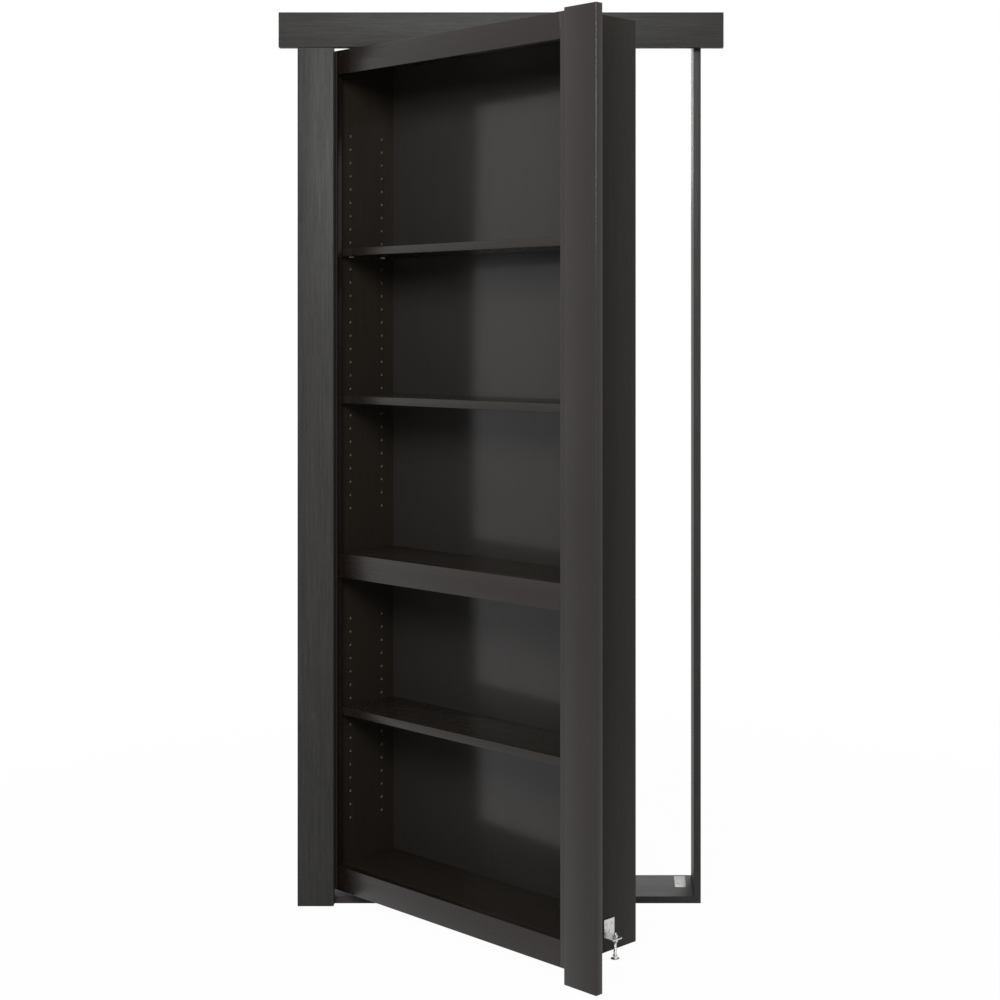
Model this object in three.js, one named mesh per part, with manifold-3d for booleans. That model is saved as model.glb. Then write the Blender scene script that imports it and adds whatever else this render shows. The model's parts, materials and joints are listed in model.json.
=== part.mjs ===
// Hidden door bookcase: a bookcase that swings as a door in its own jambs, sill and casings.
// Millimetres, +Z up. The origin is the middle of the doorway at the floor, half-way through the jambs.
// X runs along the wall from the hinge side to the latch side, and -Y faces the room that sees the casings.
import * as THREE from "three";
import { mergeGeometries, mergeVertices } from "three/addons/utils/BufferGeometryUtils.js";
import Module from "manifold-3d";

const wasm = await Module();
wasm.setup();

// Doorway
const clearWidth = 916;
const clearHeight = 2067;
const jambThickness = 16.5;
const jambDepth = 171;
const closingSetback = 3.5;
const casingThickness = 19;
const casingWidth = 85.5;
const casingLap = 8;
const headCasingHeight = 83.5;
const headCasingDrop = 31.5;
const headCasingOverhang = 45;

// Continuous hinge
const knuckleRadius = 3.6;
const leafInset = 0.25;
const leafThickness = 1.6;
const hingePinRadius = 1.55;
const hingeBoreRadius = 1.95;
const fixedLeafWidth = 14;
const movingLeafWidth = 34;
const knucklePitch = 51;
const knuckleGap = 0.4;
const hingeEndMargin = 6;
const pinHeadRadius = 2.8;
const pinHeadHeight = 2;

// Bookcase
const openDegrees = 43.4;
const seatGap = 0.3;
const boardThickness = 19;
const stileWidth = 38;
const railHeight = 57.5;
const hingeStileSetback = 3;
const hingeStileProud = 7;
const latchSwingGap = 61;
const caseDepth = 173;
const caseBottom = 49;
const headClearance = 4.5;
const bottomRailBottom = 33;
const middleRailTop = 835.5;
const backThickness = 6;
const backRebateWidth = 9.5;
const latchCasingWidth = 93;
const latchCasingBottom = 9.5;
const latchCasingClearance = 2.5;

// Adjustable shelves and the holes that carry them
const pegPitch = 32;
const pegRadius = 2.6;
const pegDepth = 12;
const pegRowRise = 101.5;
const pegFrontSetback = 33;
const pegColumnSpacing = 96;
const upperRowCount = 29;
const lowerRowCount = 16;
// How many rows lie below each shelf's own
const upperShelfRowCount = 19;
const middleShelfRowCount = 8;
const lowerShelfRowCount = 8;
const shelfFrontSetback = 1;
const shelfBackGap = 1;
const shelfEndGap = 2;
const ledgeDrop = 2.8;
const supportThickness = 1.2;
const supportWidth = 8;
const supportRise = 4;
const ledgeReach = 9;
const supportPinClearance = 0.5;

// Levelling foot and the plate under it
const bracketWidth = 31;
const bracketHeight = 39;
const bracketThickness = 2;
const bracketBottom = 79.5;
const bracketSetback = 87.6;
const earReach = 28;
const earThickness = 2.5;
const earCornerRadius = 6;
const stemRadius = 3.5;
const stemReach = 19;
const stemTop = 93;
const stemClearance = 0.4;
const nutAcrossCorners = 11.6;
const nutHeight = 6;
const padRadius = 9.5;
const padBottom = 38;
const padEdge = 1.5;
const padChamfer = 1;
const padCrown = 1.5;
const padSocketRadius = 5.2;
const padSocketHeight = 4;
const padSocketFloor = 3.5;
const bracketScrewRise = 28;
const bracketScrewSpread = 15;
const lowScrewRise = 13;
const strikeLead = 1;
const strikeWidth = 27;
const strikeLength = 86;
const strikeStemSetback = 37.5;
const strikeThickness = 1.6;
const strikeArris = 0.4;
const strikeScrewInset = 8;
const strikeScrewShares = [0.3, 0.75];
const screwHeadRadius = 3.6;
const screwHeadHeight = 1.4;
const screwShankRadius = 1.9;
const screwLength = 14;
const screwClearance = 0.3;

// Eased edges, and how far cutters run past what they cut
const casingArris = 1.2;
const boardArris = 0.6;
const overrun = 5;

// Places that follow from the sizes above
const headCasingBottom = clearHeight - headCasingDrop;
const jambInner = clearWidth / 2;
const jambOuter = jambInner + jambThickness;
const casingOuter = jambOuter + casingLap;
const casingInner = casingOuter - casingWidth;
const wallFace = -jambDepth / 2;
const jambBack = jambDepth / 2;
const casingFront = wallFace - casingThickness;
const closingFace = wallFace + closingSetback;
const leafClearance = knuckleGap;

const pinX = -casingInner + knuckleRadius;
const pinY = wallFace + leafClearance + leafThickness + leafInset - knuckleRadius;

const frameFront = pinY + knuckleRadius + seatGap;
const frameBack = frameFront + boardThickness;
const caseFront = frameBack + seatGap;
const caseBack = frameBack + caseDepth;
const backPanelFront = caseBack - backThickness;
const caseTop = headCasingBottom - headClearance;
const bottomRailTop = bottomRailBottom + railHeight;
const middleRailBottom = middleRailTop - railHeight;
const topRailBottom = caseTop - railHeight;
const hingeStileInner = -casingInner - hingeStileSetback;
const hingeStileOuter = hingeStileInner - stileWidth;
const hingeSideOuter = hingeStileOuter + hingeStileProud;
const hingeSideInner = hingeSideOuter + boardThickness;
const latchSideOuter = jambInner - latchSwingGap;
const latchSideInner = latchSideOuter - boardThickness;
const latchStileInner = latchSideOuter - stileWidth;
const frontPegY = caseFront + pegFrontSetback;
const backPegY = frontPegY + pegColumnSpacing;
const strikeTop = jambThickness + strikeThickness;
const stemX = latchSideOuter + stemReach;
const stemY = caseFront + bracketSetback;
const strikeLeft = stemX - strikeLead;
const strikeFront = stemY - strikeStemSetback;
const bracketFace = latchSideOuter + seatGap + bracketThickness;
const bracketScrewPlaces = [
  [stemY - bracketScrewSpread / 2, bracketBottom + bracketScrewRise],
  [stemY + bracketScrewSpread / 2, bracketBottom + bracketScrewRise],
  [stemY, bracketBottom + lowScrewRise],
];
const strikeScrewPlaces = strikeScrewShares.map((share) => [
  strikeLeft + strikeScrewInset,
  strikeFront + share * strikeLength,
]);

// Materials
function finish(color, roughness, metalness) {
  return new THREE.MeshStandardMaterial({ color, roughness, metalness });
}
const espressoWood = finish(0x3a3432, 0.45, 0);
const caseWood = finish(0x2c2827, 0.4, 0);
const backWood = finish(0x262322, 0.5, 0);
const zincSteel = finish(0xb9bab6, 0.35, 0.9);
const darkSteel = finish(0x1c1a19, 0.4, 0.7);
const nickelSteel = finish(0x9a9a98, 0.3, 0.9);

// Solids for joining and cutting
function toSolid(geometry) {
  const bare = geometry.index ? geometry.toNonIndexed() : geometry.clone();
  bare.deleteAttribute("normal");
  bare.deleteAttribute("uv");
  const welded = mergeVertices(bare);
  const vertProperties = new Float32Array(welded.attributes.position.array);
  const triVerts = new Uint32Array(welded.index.array);
  return new wasm.Manifold(new wasm.Mesh({ numProp: 3, vertProperties, triVerts }));
}

function toGeometry(solid) {
  const { vertProperties, triVerts, numProp } = solid.getMesh();
  const geometry = new THREE.BufferGeometry();
  const points = new Float32Array((vertProperties.length / numProp) * 3);
  for (let i = 0; i < points.length / 3; i += 1) {
    points.set(vertProperties.subarray(i * numProp, i * numProp + 3), i * 3);
  }
  geometry.setAttribute("position", new THREE.BufferAttribute(points, 3));
  geometry.setIndex(new THREE.BufferAttribute(new Uint32Array(triVerts), 1));
  geometry.computeVertexNormals();
  return geometry;
}

function addMesh(group, name, geometry, material) {
  const mesh = new THREE.Mesh(geometry, material);
  mesh.name = name;
  group.add(mesh);
  return mesh;
}

// A plain block between two places on each axis
function block([x0, x1], [y0, y1], [z0, z1]) {
  const geometry = new THREE.BoxGeometry(x1 - x0, y1 - y0, z1 - z0);
  return geometry.translate((x0 + x1) / 2, (y0 + y1) / 2, (z0 + z1) / 2);
}

// A board between two places on each axis, with all its edges eased
function easedBlock([x0, x1], [y0, y1], [z0, z1], arris) {
  const outline = new THREE.Shape();
  outline.moveTo(x0, y0);
  outline.lineTo(x1, y0);
  outline.lineTo(x1, y1);
  outline.lineTo(x0, y1);
  outline.closePath();
  const geometry = new THREE.ExtrudeGeometry(outline, {
    depth: z1 - z0 - 2 * arris,
    bevelEnabled: true,
    bevelSegments: 1,
    bevelSize: arris,
    bevelThickness: arris,
    bevelOffset: -arris,
  });
  return geometry.translate(0, 0, z0 + arris);
}

function addBoard(group, name, xs, ys, zs, material, arris = boardArris) {
  return addMesh(group, name, easedBlock(xs, ys, zs, arris), material);
}

// An upright cylinder between two heights
function rod(x, y, [z0, z1], radius, sides) {
  const geometry = new THREE.CylinderGeometry(radius, radius, z1 - z0, sides);
  geometry.rotateX(Math.PI / 2);
  return geometry.translate(x, y, (z0 + z1) / 2);
}

// A cylinder along X between two places
function crossRod([x0, x1], y, z, radius, sides) {
  const geometry = new THREE.CylinderGeometry(radius, radius, x1 - x0, sides);
  geometry.rotateZ(Math.PI / 2);
  return geometry.translate((x0 + x1) / 2, y, z);
}

// A round solid about the Z axis from a closed profile of [radius, height] points
function turned(points, x, y, sides) {
  const profile = points.map(([radius, height]) => new THREE.Vector2(radius, height));
  const geometry = new THREE.LatheGeometry(profile, sides);
  geometry.rotateX(Math.PI / 2);
  return geometry.translate(x, y, 0);
}

// A countersunk screw drawn upright, its flat head up at the origin
function screwGeometry() {
  return turned([
    [0, -screwLength],
    [screwShankRadius, -screwLength + screwShankRadius],
    [screwShankRadius, -screwHeadHeight],
    [screwHeadRadius, 0],
    [0, 0],
  ], 0, 0, 10);
}

// The hole that such a screw stands in: a cone for its head, and a blind shaft for its shank
function screwHole() {
  return turned([
    [0, -screwLength - screwClearance],
    [screwShankRadius + screwClearance, -screwLength - screwClearance],
    [screwShankRadius + screwClearance, -screwHeadHeight],
    [screwHeadRadius + screwClearance, 0],
    [screwHeadRadius + screwClearance, overrun],
    [0, overrun],
  ], 0, 0, 10);
}

// Screws of the bracket point into the case's side, and those of the strike plate point down into the sill
function onBracket(geometry, [y, z]) {
  return geometry.rotateY(Math.PI / 2).translate(bracketFace, y, z);
}

function onStrikePlate(geometry, [x, y]) {
  return geometry.translate(x, y, strikeTop);
}

function drilled(solid, places, placed) {
  return places.reduce((rest, place) => rest.subtract(toSolid(placed(screwHole(), place))), solid);
}

const hiddenDoorBookcase = new THREE.Group();
const surround = new THREE.Group();
hiddenDoorBookcase.add(surround);

// The bookcase is drawn closed, then turned about the hinge pin to the angle where it stands open
const doorSwing = new THREE.Group();
doorSwing.position.set(pinX, pinY, 0);
doorSwing.rotation.z = -THREE.MathUtils.degToRad(openDegrees);
hiddenDoorBookcase.add(doorSwing);
const bookcase = new THREE.Group();
bookcase.position.set(-pinX, -pinY, 0);
doorSwing.add(bookcase);

// Jambs and sill line the wall's opening. The latch jamb and the sill stand back from the wall's face,
// so that the moving casing shuts in front of them.
function buildJambs() {
  const headTop = clearHeight + jambThickness;
  const uprights = [0, clearHeight];
  const outerXs = [-jambOuter, jambOuter];
  const sillXs = [-jambInner, jambInner];
  const deep = [wallFace, jambBack];
  const setBack = [closingFace, jambBack];
  addBoard(surround, "hinge_jamb", [-jambOuter, -jambInner], deep, uprights, espressoWood);
  addBoard(surround, "latch_jamb", [jambInner, jambOuter], setBack, uprights, espressoWood);
  addBoard(surround, "head_jamb", outerXs, deep, [clearHeight, headTop], espressoWood);
  const sill = toSolid(easedBlock(sillXs, setBack, [0, jambThickness], boardArris));
  addMesh(surround, "sill", toGeometry(drilled(sill, strikeScrewPlaces, onStrikePlate)), espressoWood);
}

// The fixed casings: one upright on the hinge side, and a long head board over both
function buildFixedCasings() {
  const ys = [casingFront, wallFace];
  const headEnd = casingOuter + headCasingOverhang;
  const sideXs = [-casingOuter, -casingInner];
  const headZs = [headCasingBottom, headCasingBottom + headCasingHeight];
  addBoard(surround, "hinge_casing", sideXs, ys, [0, headCasingBottom], espressoWood, casingArris);
  addBoard(surround, "head_casing", [-headEnd, headEnd], ys, headZs, espressoWood, casingArris);
}

// One leaf of the continuous hinge, drawn along X with the pin at the origin: a strip that rolls into the
// knuckles, cut away at every second knuckle where the other leaf's knuckles run
function hingeLeaf(width, firstKnuckle) {
  const bottom = bottomRailBottom + hingeEndMargin;
  const length = caseTop - hingeEndMargin - bottom;
  const knuckleCount = 2 * Math.round(length / knucklePitch / 2) + 1;
  const pitch = length / knuckleCount;
  const outer = knuckleRadius - leafInset;
  const inner = outer - leafThickness;
  const outerAngle = Math.PI - Math.asin(outer / knuckleRadius);
  const innerAngle = -Math.PI - Math.asin(inner / knuckleRadius);
  const outline = new THREE.Shape();
  outline.moveTo(-width, inner);
  outline.lineTo(-width, outer);
  outline.absarc(0, 0, knuckleRadius, outerAngle, innerAngle, true);
  outline.closePath();
  const bore = new THREE.Path();
  bore.absarc(0, 0, hingeBoreRadius, 0, 2 * Math.PI, false);
  outline.holes.push(bore);
  const strip = new THREE.ExtrudeGeometry(outline, { depth: length, bevelEnabled: false, curveSegments: 6 });
  const notches = [];
  for (let i = 1 - firstKnuckle; i < knuckleCount; i += 2) {
    const low = i === 0 ? -overrun : i * pitch - knuckleGap / 2;
    const high = i === knuckleCount - 1 ? length + overrun : (i + 1) * pitch + knuckleGap / 2;
    const reach = knuckleRadius + knuckleGap;
    notches.push(block([-reach, reach], [-reach, reach], [low, high]));
  }
  return toGeometry(toSolid(strip).subtract(toSolid(mergeGeometries(notches)))).translate(0, 0, bottom);
}

// The fixed leaf lies on the casing's inner edge, and the moving leaf on the front of the hinge stile
function buildHinge() {
  const fixedLeaf = hingeLeaf(fixedLeafWidth, 0).rotateZ(Math.PI / 2).translate(pinX, pinY, 0);
  const movingLeaf = hingeLeaf(movingLeafWidth, 1).translate(pinX, pinY, 0);
  addMesh(surround, "fixed_hinge_leaf", fixedLeaf, darkSteel);
  addMesh(bookcase, "moving_hinge_leaf", movingLeaf, darkSteel);

  const low = bottomRailBottom + hingeEndMargin - knuckleGap;
  const high = caseTop - hingeEndMargin + knuckleGap;
  const pinProfile = [
    [0, low - pinHeadHeight],
    [pinHeadRadius, low - pinHeadHeight],
    [pinHeadRadius, low],
    [hingePinRadius, low],
    [hingePinRadius, high],
    [pinHeadRadius, high],
    [pinHeadRadius, high + pinHeadHeight],
    [0, high + pinHeadHeight],
  ];
  addMesh(surround, "hinge_pin", turned(pinProfile, pinX, pinY, 10), darkSteel);
}

// Heights of the rows of shelf holes, above the bottom rail and above the middle rail
function pegRows() {
  const rows = [];
  for (let i = 0; i < lowerRowCount; i += 1) rows.push(bottomRailTop + pegRowRise + i * pegPitch);
  for (let i = 0; i < upperRowCount; i += 1) rows.push(middleRailTop + pegRowRise + i * pegPitch);
  return rows;
}

// A side panel: bored with two columns of blind holes on its inner face, and rebated for the back
function sidePanel(outer, inner, screwPlaces) {
  const inward = Math.sign(inner - outer);
  const xs = [Math.min(outer, inner), Math.max(outer, inner)];
  const panel = toSolid(easedBlock(xs, [caseFront, caseBack], [caseBottom, caseTop], boardArris));
  const mouth = inner + inward * overrun;
  const holeEnd = inner - inward * pegDepth;
  const holes = [];
  for (const z of pegRows()) {
    for (const y of [frontPegY, backPegY]) {
      holes.push(crossRod([Math.min(mouth, holeEnd), Math.max(mouth, holeEnd)], y, z, pegRadius, 8));
    }
  }
  const rebateEnd = inner - inward * backRebateWidth;
  const rebateXs = [Math.min(mouth, rebateEnd), Math.max(mouth, rebateEnd)];
  const rebateYs = [backPanelFront - seatGap, caseBack + overrun];
  const rebate = block(rebateXs, rebateYs, [caseBottom - overrun, caseTop + overrun]);
  const bored = panel.subtract(toSolid(mergeGeometries(holes))).subtract(toSolid(rebate));
  return toGeometry(drilled(bored, screwPlaces, onBracket));
}

// The case: two sides, a top, a bottom, one fixed shelf behind the middle rail, and a thin back
function buildCase() {
  const hingeSide = sidePanel(hingeSideOuter, hingeSideInner, []);
  const latchSide = sidePanel(latchSideOuter, latchSideInner, bracketScrewPlaces);
  addMesh(bookcase, "hinge_side_panel", hingeSide, caseWood);
  addMesh(bookcase, "latch_side_panel", latchSide, caseWood);
  const xs = [hingeSideInner + seatGap, latchSideInner - seatGap];
  const ys = [caseFront, backPanelFront - seatGap];
  addBoard(bookcase, "top_panel", xs, ys, [caseTop - boardThickness, caseTop], caseWood);
  addBoard(bookcase, "fixed_shelf", xs, ys, [middleRailTop - boardThickness, middleRailTop], caseWood);
  addBoard(bookcase, "bottom_panel", xs, ys, [bottomRailTop - boardThickness, bottomRailTop], caseWood);
  const backXs = [
    hingeSideInner - backRebateWidth + seatGap,
    latchSideInner + backRebateWidth - seatGap,
  ];
  addBoard(bookcase, "back_panel", backXs, [backPanelFront, caseBack], [caseBottom, caseTop], backWood);
}

// The face frame: two stiles with three rails between them, and the casing that the latch stile carries
function buildFaceFrame() {
  const ys = [frameFront, frameBack];
  const heights = [bottomRailBottom, caseTop];
  addBoard(bookcase, "hinge_stile", [hingeStileOuter, hingeStileInner], ys, heights, espressoWood);
  addBoard(bookcase, "latch_stile", [latchStileInner, latchSideOuter], ys, heights, espressoWood);
  const railXs = [hingeStileInner + seatGap, latchStileInner - seatGap];
  addBoard(bookcase, "top_rail", railXs, ys, [topRailBottom, caseTop], espressoWood);
  addBoard(bookcase, "middle_rail", railXs, ys, [middleRailBottom, middleRailTop], espressoWood);
  addBoard(bookcase, "bottom_rail", railXs, ys, [bottomRailBottom, bottomRailTop], espressoWood);

  const casingYs = [frameFront - seatGap - casingThickness, frameFront - seatGap];
  const casingXs = [casingOuter - latchCasingWidth, casingOuter];
  const casingHeights = [latchCasingBottom, headCasingBottom - latchCasingClearance];
  addBoard(bookcase, "latch_casing", casingXs, casingYs, casingHeights, espressoWood, casingArris);
}

// A shelf support: a pin in the panel's hole, a tab beside the shelf's end, and a ledge under the shelf
function shelfSupport(inner, inward, y, row) {
  const along = (from, to) => {
    const ends = [inner + inward * from, inner + inward * to];
    return [Math.min(...ends), Math.max(...ends)];
  };
  const tabEnd = seatGap + supportThickness;
  const ledgeTop = row - ledgeDrop;
  const ys = [y - supportWidth / 2, y + supportWidth / 2];
  const tab = toSolid(block(along(seatGap, tabEnd), ys, [ledgeTop - supportThickness, row + supportRise]));
  const ledge = toSolid(block(along(seatGap, ledgeReach), ys, [ledgeTop - supportThickness, ledgeTop]));
  const pinRadius = pegRadius - supportPinClearance;
  const pinEnd = seatGap - pegDepth;
  const pin = toSolid(crossRod(along(pinEnd, tabEnd - supportThickness / 2), y, row, pinRadius, 8));
  return toGeometry(tab.add(ledge).add(pin));
}

// The three loose shelves, each resting on four supports
function buildShelves() {
  const shelfXs = [hingeSideInner + shelfEndGap, latchSideInner - shelfEndGap];
  const shelfYs = [caseFront + shelfFrontSetback, backPanelFront - shelfBackGap];
  const places = {
    upper: middleRailTop + pegRowRise + upperShelfRowCount * pegPitch,
    middle: middleRailTop + pegRowRise + middleShelfRowCount * pegPitch,
    lower: bottomRailTop + pegRowRise + lowerShelfRowCount * pegPitch,
  };
  for (const [place, row] of Object.entries(places)) {
    const under = row - ledgeDrop + seatGap;
    const shelfZs = [under, under + boardThickness];
    addBoard(bookcase, `${place}_shelf`, shelfXs, shelfYs, shelfZs, caseWood, casingArris);
    const corners = [
      ["hinge_front", hingeSideInner, 1, frontPegY],
      ["hinge_back", hingeSideInner, 1, backPegY],
      ["latch_front", latchSideInner, -1, frontPegY],
      ["latch_back", latchSideInner, -1, backPegY],
    ];
    for (const [corner, inner, inward, y] of corners) {
      addMesh(bookcase, `${place}_support_${corner}`, shelfSupport(inner, inward, y, row), nickelSteel);
    }
  }
}

// The levelling foot: an angle bracket on the latch side, a threaded stem with two nuts, and a round pad
function buildFoot() {
  const ys = [stemY - bracketWidth / 2, stemY + bracketWidth / 2];
  const seat = bracketFace - bracketThickness;
  const earTop = bracketBottom + earThickness;
  const cornerX = seat + earReach - earCornerRadius;
  const frontCornerY = ys[0] + earCornerRadius;
  const backCornerY = ys[1] - earCornerRadius;

  const plate = toSolid(block([seat, bracketFace], ys, [bracketBottom, bracketBottom + bracketHeight]));
  const outline = new THREE.Shape();
  outline.moveTo(seat, ys[0]);
  outline.lineTo(cornerX, ys[0]);
  outline.absarc(cornerX, frontCornerY, earCornerRadius, -Math.PI / 2, 0, false);
  outline.absarc(cornerX, backCornerY, earCornerRadius, 0, Math.PI / 2, false);
  outline.lineTo(seat, ys[1]);
  outline.closePath();
  const earShape = { depth: earThickness, bevelEnabled: false, curveSegments: 3 };
  const ear = new THREE.ExtrudeGeometry(outline, earShape);
  ear.translate(0, 0, bracketBottom);
  const nutReach = 2 * nutHeight;
  const holeHeights = [bracketBottom - nutReach, earTop + nutReach];
  const stemHole = toSolid(rod(stemX, stemY, holeHeights, stemRadius + stemClearance, 12));
  const bent = plate.add(toSolid(ear)).subtract(stemHole);
  const bracket = toGeometry(drilled(bent, bracketScrewPlaces, onBracket));
  addMesh(bookcase, "foot_bracket", bracket, zincSteel);
  bracketScrewPlaces.forEach((place, i) => {
    addMesh(bookcase, `bracket_screw_${i + 1}`, onBracket(screwGeometry(), place), zincSteel);
  });

  const nutHeights = {
    lower_foot_nut: [bracketBottom - seatGap - nutHeight, bracketBottom - seatGap],
    upper_foot_nut: [earTop + seatGap, earTop + seatGap + nutHeight],
  };
  for (const [name, heights] of Object.entries(nutHeights)) {
    const hexagon = toSolid(rod(stemX, stemY, heights, nutAcrossCorners / 2, 6));
    addMesh(bookcase, name, toGeometry(hexagon.subtract(stemHole)), zincSteel);
  }

  const socketFloor = padBottom + padSocketFloor;
  const stemProfile = [
    [0, socketFloor + seatGap],
    [stemRadius, socketFloor + seatGap],
    [stemRadius, stemTop - stemClearance],
    [stemRadius - stemClearance, stemTop],
    [0, stemTop],
  ];
  addMesh(bookcase, "foot_stem", turned(stemProfile, stemX, stemY, 12), zincSteel);
  const padTop = padBottom + padEdge + padChamfer + padCrown;
  const padProfile = [
    [0, padBottom],
    [padRadius - padChamfer, padBottom],
    [padRadius, padBottom + padChamfer],
    [padRadius, padBottom + padEdge],
    [padSocketRadius, padTop],
    [padSocketRadius, padTop + padSocketHeight],
    [stemRadius + stemClearance, padTop + padSocketHeight],
    [stemRadius + stemClearance, socketFloor],
    [0, socketFloor],
  ];
  addMesh(bookcase, "foot_pad", turned(padProfile, stemX, stemY, 20), zincSteel);
}

// The strike plate lies on the sill where the foot comes over it, held by two countersunk screws
function buildStrikePlate() {
  const xs = [strikeLeft, strikeLeft + strikeWidth];
  const ys = [strikeFront, strikeFront + strikeLength];
  const blank = toSolid(easedBlock(xs, ys, [jambThickness, strikeTop], strikeArris));
  const plate = toGeometry(drilled(blank, strikeScrewPlaces, onStrikePlate));
  addMesh(surround, "strike_plate", plate, zincSteel);
  strikeScrewPlaces.forEach((place, i) => {
    addMesh(surround, `strike_screw_${i + 1}`, onStrikePlate(screwGeometry(), place), zincSteel);
  });
}

buildJambs();
buildFixedCasings();
buildHinge();
buildCase();
buildFaceFrame();
buildShelves();
buildFoot();
buildStrikePlate();

export default hiddenDoorBookcase;
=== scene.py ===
import itertools
import json
import math

import bmesh
import bpy
from mathutils import Euler, Matrix, Vector


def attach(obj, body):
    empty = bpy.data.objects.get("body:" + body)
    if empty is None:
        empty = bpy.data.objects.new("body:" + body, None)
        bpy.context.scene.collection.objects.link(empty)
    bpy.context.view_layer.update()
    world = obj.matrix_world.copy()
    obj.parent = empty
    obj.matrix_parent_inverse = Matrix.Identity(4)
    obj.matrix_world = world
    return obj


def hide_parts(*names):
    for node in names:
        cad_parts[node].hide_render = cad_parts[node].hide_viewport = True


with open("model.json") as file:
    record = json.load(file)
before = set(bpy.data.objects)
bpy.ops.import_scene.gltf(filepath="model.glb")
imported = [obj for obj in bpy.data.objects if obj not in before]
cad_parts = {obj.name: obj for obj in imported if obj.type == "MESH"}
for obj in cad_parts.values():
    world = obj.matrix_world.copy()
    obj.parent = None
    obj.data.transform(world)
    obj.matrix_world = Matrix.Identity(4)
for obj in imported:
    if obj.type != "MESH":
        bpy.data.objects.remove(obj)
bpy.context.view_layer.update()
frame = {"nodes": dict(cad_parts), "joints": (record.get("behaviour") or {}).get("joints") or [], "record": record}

scene = bpy.context.scene

# The camera
# It looks straight through the wall from the latch side of the doorway, a little above half height.
# The lens is shifted, so that uprights stay upright in the picture.
camera_place = (0.27512, -4.29833, 1.35725)
picture_size = 1000
focal_pixels = 1769.84
centre_column = 617.14
centre_row = 333.66
sensor_width = 36.0
quarter_turn = math.radians(90)

lens = bpy.data.cameras.new("studio_camera")
lens.sensor_width = sensor_width
lens.lens = sensor_width * focal_pixels / picture_size
lens.shift_x = (picture_size / 2 - centre_column) / picture_size
lens.shift_y = (centre_row - picture_size / 2) / picture_size
camera = bpy.data.objects.new("studio_camera", lens)
camera.location = camera_place
camera.rotation_euler = (quarter_turn, 0, 0)
scene.collection.objects.link(camera)
scene.camera = camera
scene.view_settings.view_transform = "Standard"


# Shader nodes for every finish
# A Term wraps a socket, so that shader maths reads as plain expressions.
class Term:
    def __init__(self, finish, socket):
        self.finish = finish
        self.socket = socket

    def combine(self, operation, first, second):
        return self.finish.node("ShaderNodeMath", {"operation": operation}, {0: first, 1: second})

    def __add__(self, other):
        return self.combine("ADD", self, other)

    def __sub__(self, other):
        return self.combine("SUBTRACT", self, other)

    def __rsub__(self, other):
        return self.combine("SUBTRACT", other, self)

    def __mul__(self, other):
        return self.combine("MULTIPLY", self, other)

    __radd__ = __add__
    __rmul__ = __mul__


class Finish:
    def __init__(self, name, world=None):
        if world is None:
            self.material = bpy.data.materials.new(name)
            self.material.use_nodes = True
            self.tree = self.material.node_tree
        else:
            world.use_nodes = True
            self.tree = world.node_tree
        self.tree.nodes.clear()

    def node(self, kind, settings, sockets, output=0):
        made = self.tree.nodes.new(kind)
        for key, value in settings.items():
            setattr(made, key, value)
        for key, value in sockets.items():
            if isinstance(value, Term):
                self.tree.links.new(value.socket, made.inputs[key])
            else:
                made.inputs[key].default_value = value
        return Term(self, made.outputs[output]) if made.outputs else None


# The studio: a white world and a pale floor
# Camera, glossy and transmission rays see a plain white world, and every other ray gets a weak light from all
# round. The floor is almost white to the camera and pale to glossy rays, with a trace of shade near the object.
studio_white = (1, 1, 1, 1)
fill_strength = 0.065
floor_half_width = 14.0
floor_drop = 0.0008
floor_color = (0.86, 0.86, 0.86, 1)
floor_white_share = 0.98
floor_gloss_share = 0.8
floor_shadow_reach = 1.3
floor_fade_end = 2.6

world = bpy.data.worlds.new("studio_world")
scene.world = world
sky = Finish("studio_world", world)
sees_camera = sky.node("ShaderNodeLightPath", {}, {}, "Is Camera Ray")
sees_gloss = sky.node("ShaderNodeLightPath", {}, {}, "Is Glossy Ray")
sees_through = sky.node("ShaderNodeLightPath", {}, {}, "Is Transmission Ray")
white_rays = sky.node("ShaderNodeMath", {"operation": "MINIMUM"}, {
    0: sees_camera + sees_gloss + sees_through, 1: 1.0})
background = sky.node("ShaderNodeBackground", {}, {
    "Color": studio_white, "Strength": white_rays * (1 - fill_strength) + fill_strength})
sky.node("ShaderNodeOutputWorld", {}, {"Surface": background})

floor_finish = Finish("pale_floor")
floor_camera = floor_finish.node("ShaderNodeLightPath", {}, {}, "Is Camera Ray")
floor_gloss = floor_finish.node("ShaderNodeLightPath", {}, {}, "Is Glossy Ray")
floor_shade = floor_finish.node("ShaderNodeBsdfDiffuse", {}, {"Color": floor_color})
floor_glow = floor_finish.node("ShaderNodeEmission", {}, {"Color": studio_white, "Strength": 1.0})
floor_place = floor_finish.node("ShaderNodeTexCoord", {}, {}, "Object")
floor_distance = floor_finish.node("ShaderNodeVectorMath", {"operation": "LENGTH"}, {0: floor_place}, "Value")
floor_far = floor_finish.node("ShaderNodeMapRange", {"interpolation_type": "SMOOTHSTEP"}, {
    "Value": floor_distance, "From Min": floor_shadow_reach, "From Max": floor_fade_end})
floor_whiteness = floor_far * (1 - floor_white_share) + floor_white_share
floor_mix = floor_finish.node("ShaderNodeMixShader", {}, {
    0: floor_camera * floor_whiteness + floor_gloss * floor_gloss_share, 1: floor_shade, 2: floor_glow})
floor_finish.node("ShaderNodeOutputMaterial", {}, {"Surface": floor_mix})

floor_mesh = bpy.data.meshes.new("floor")
floor_corners = [(-1, -1), (1, -1), (1, 1), (-1, 1)]
floor_mesh.from_pydata(
    [(x * floor_half_width, y * floor_half_width, -floor_drop) for x, y in floor_corners], [], [(0, 1, 2, 3)])
floor_mesh.materials.append(floor_finish.material)
floor = bpy.data.objects.new("floor", floor_mesh)
scene.collection.objects.link(floor)


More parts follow.
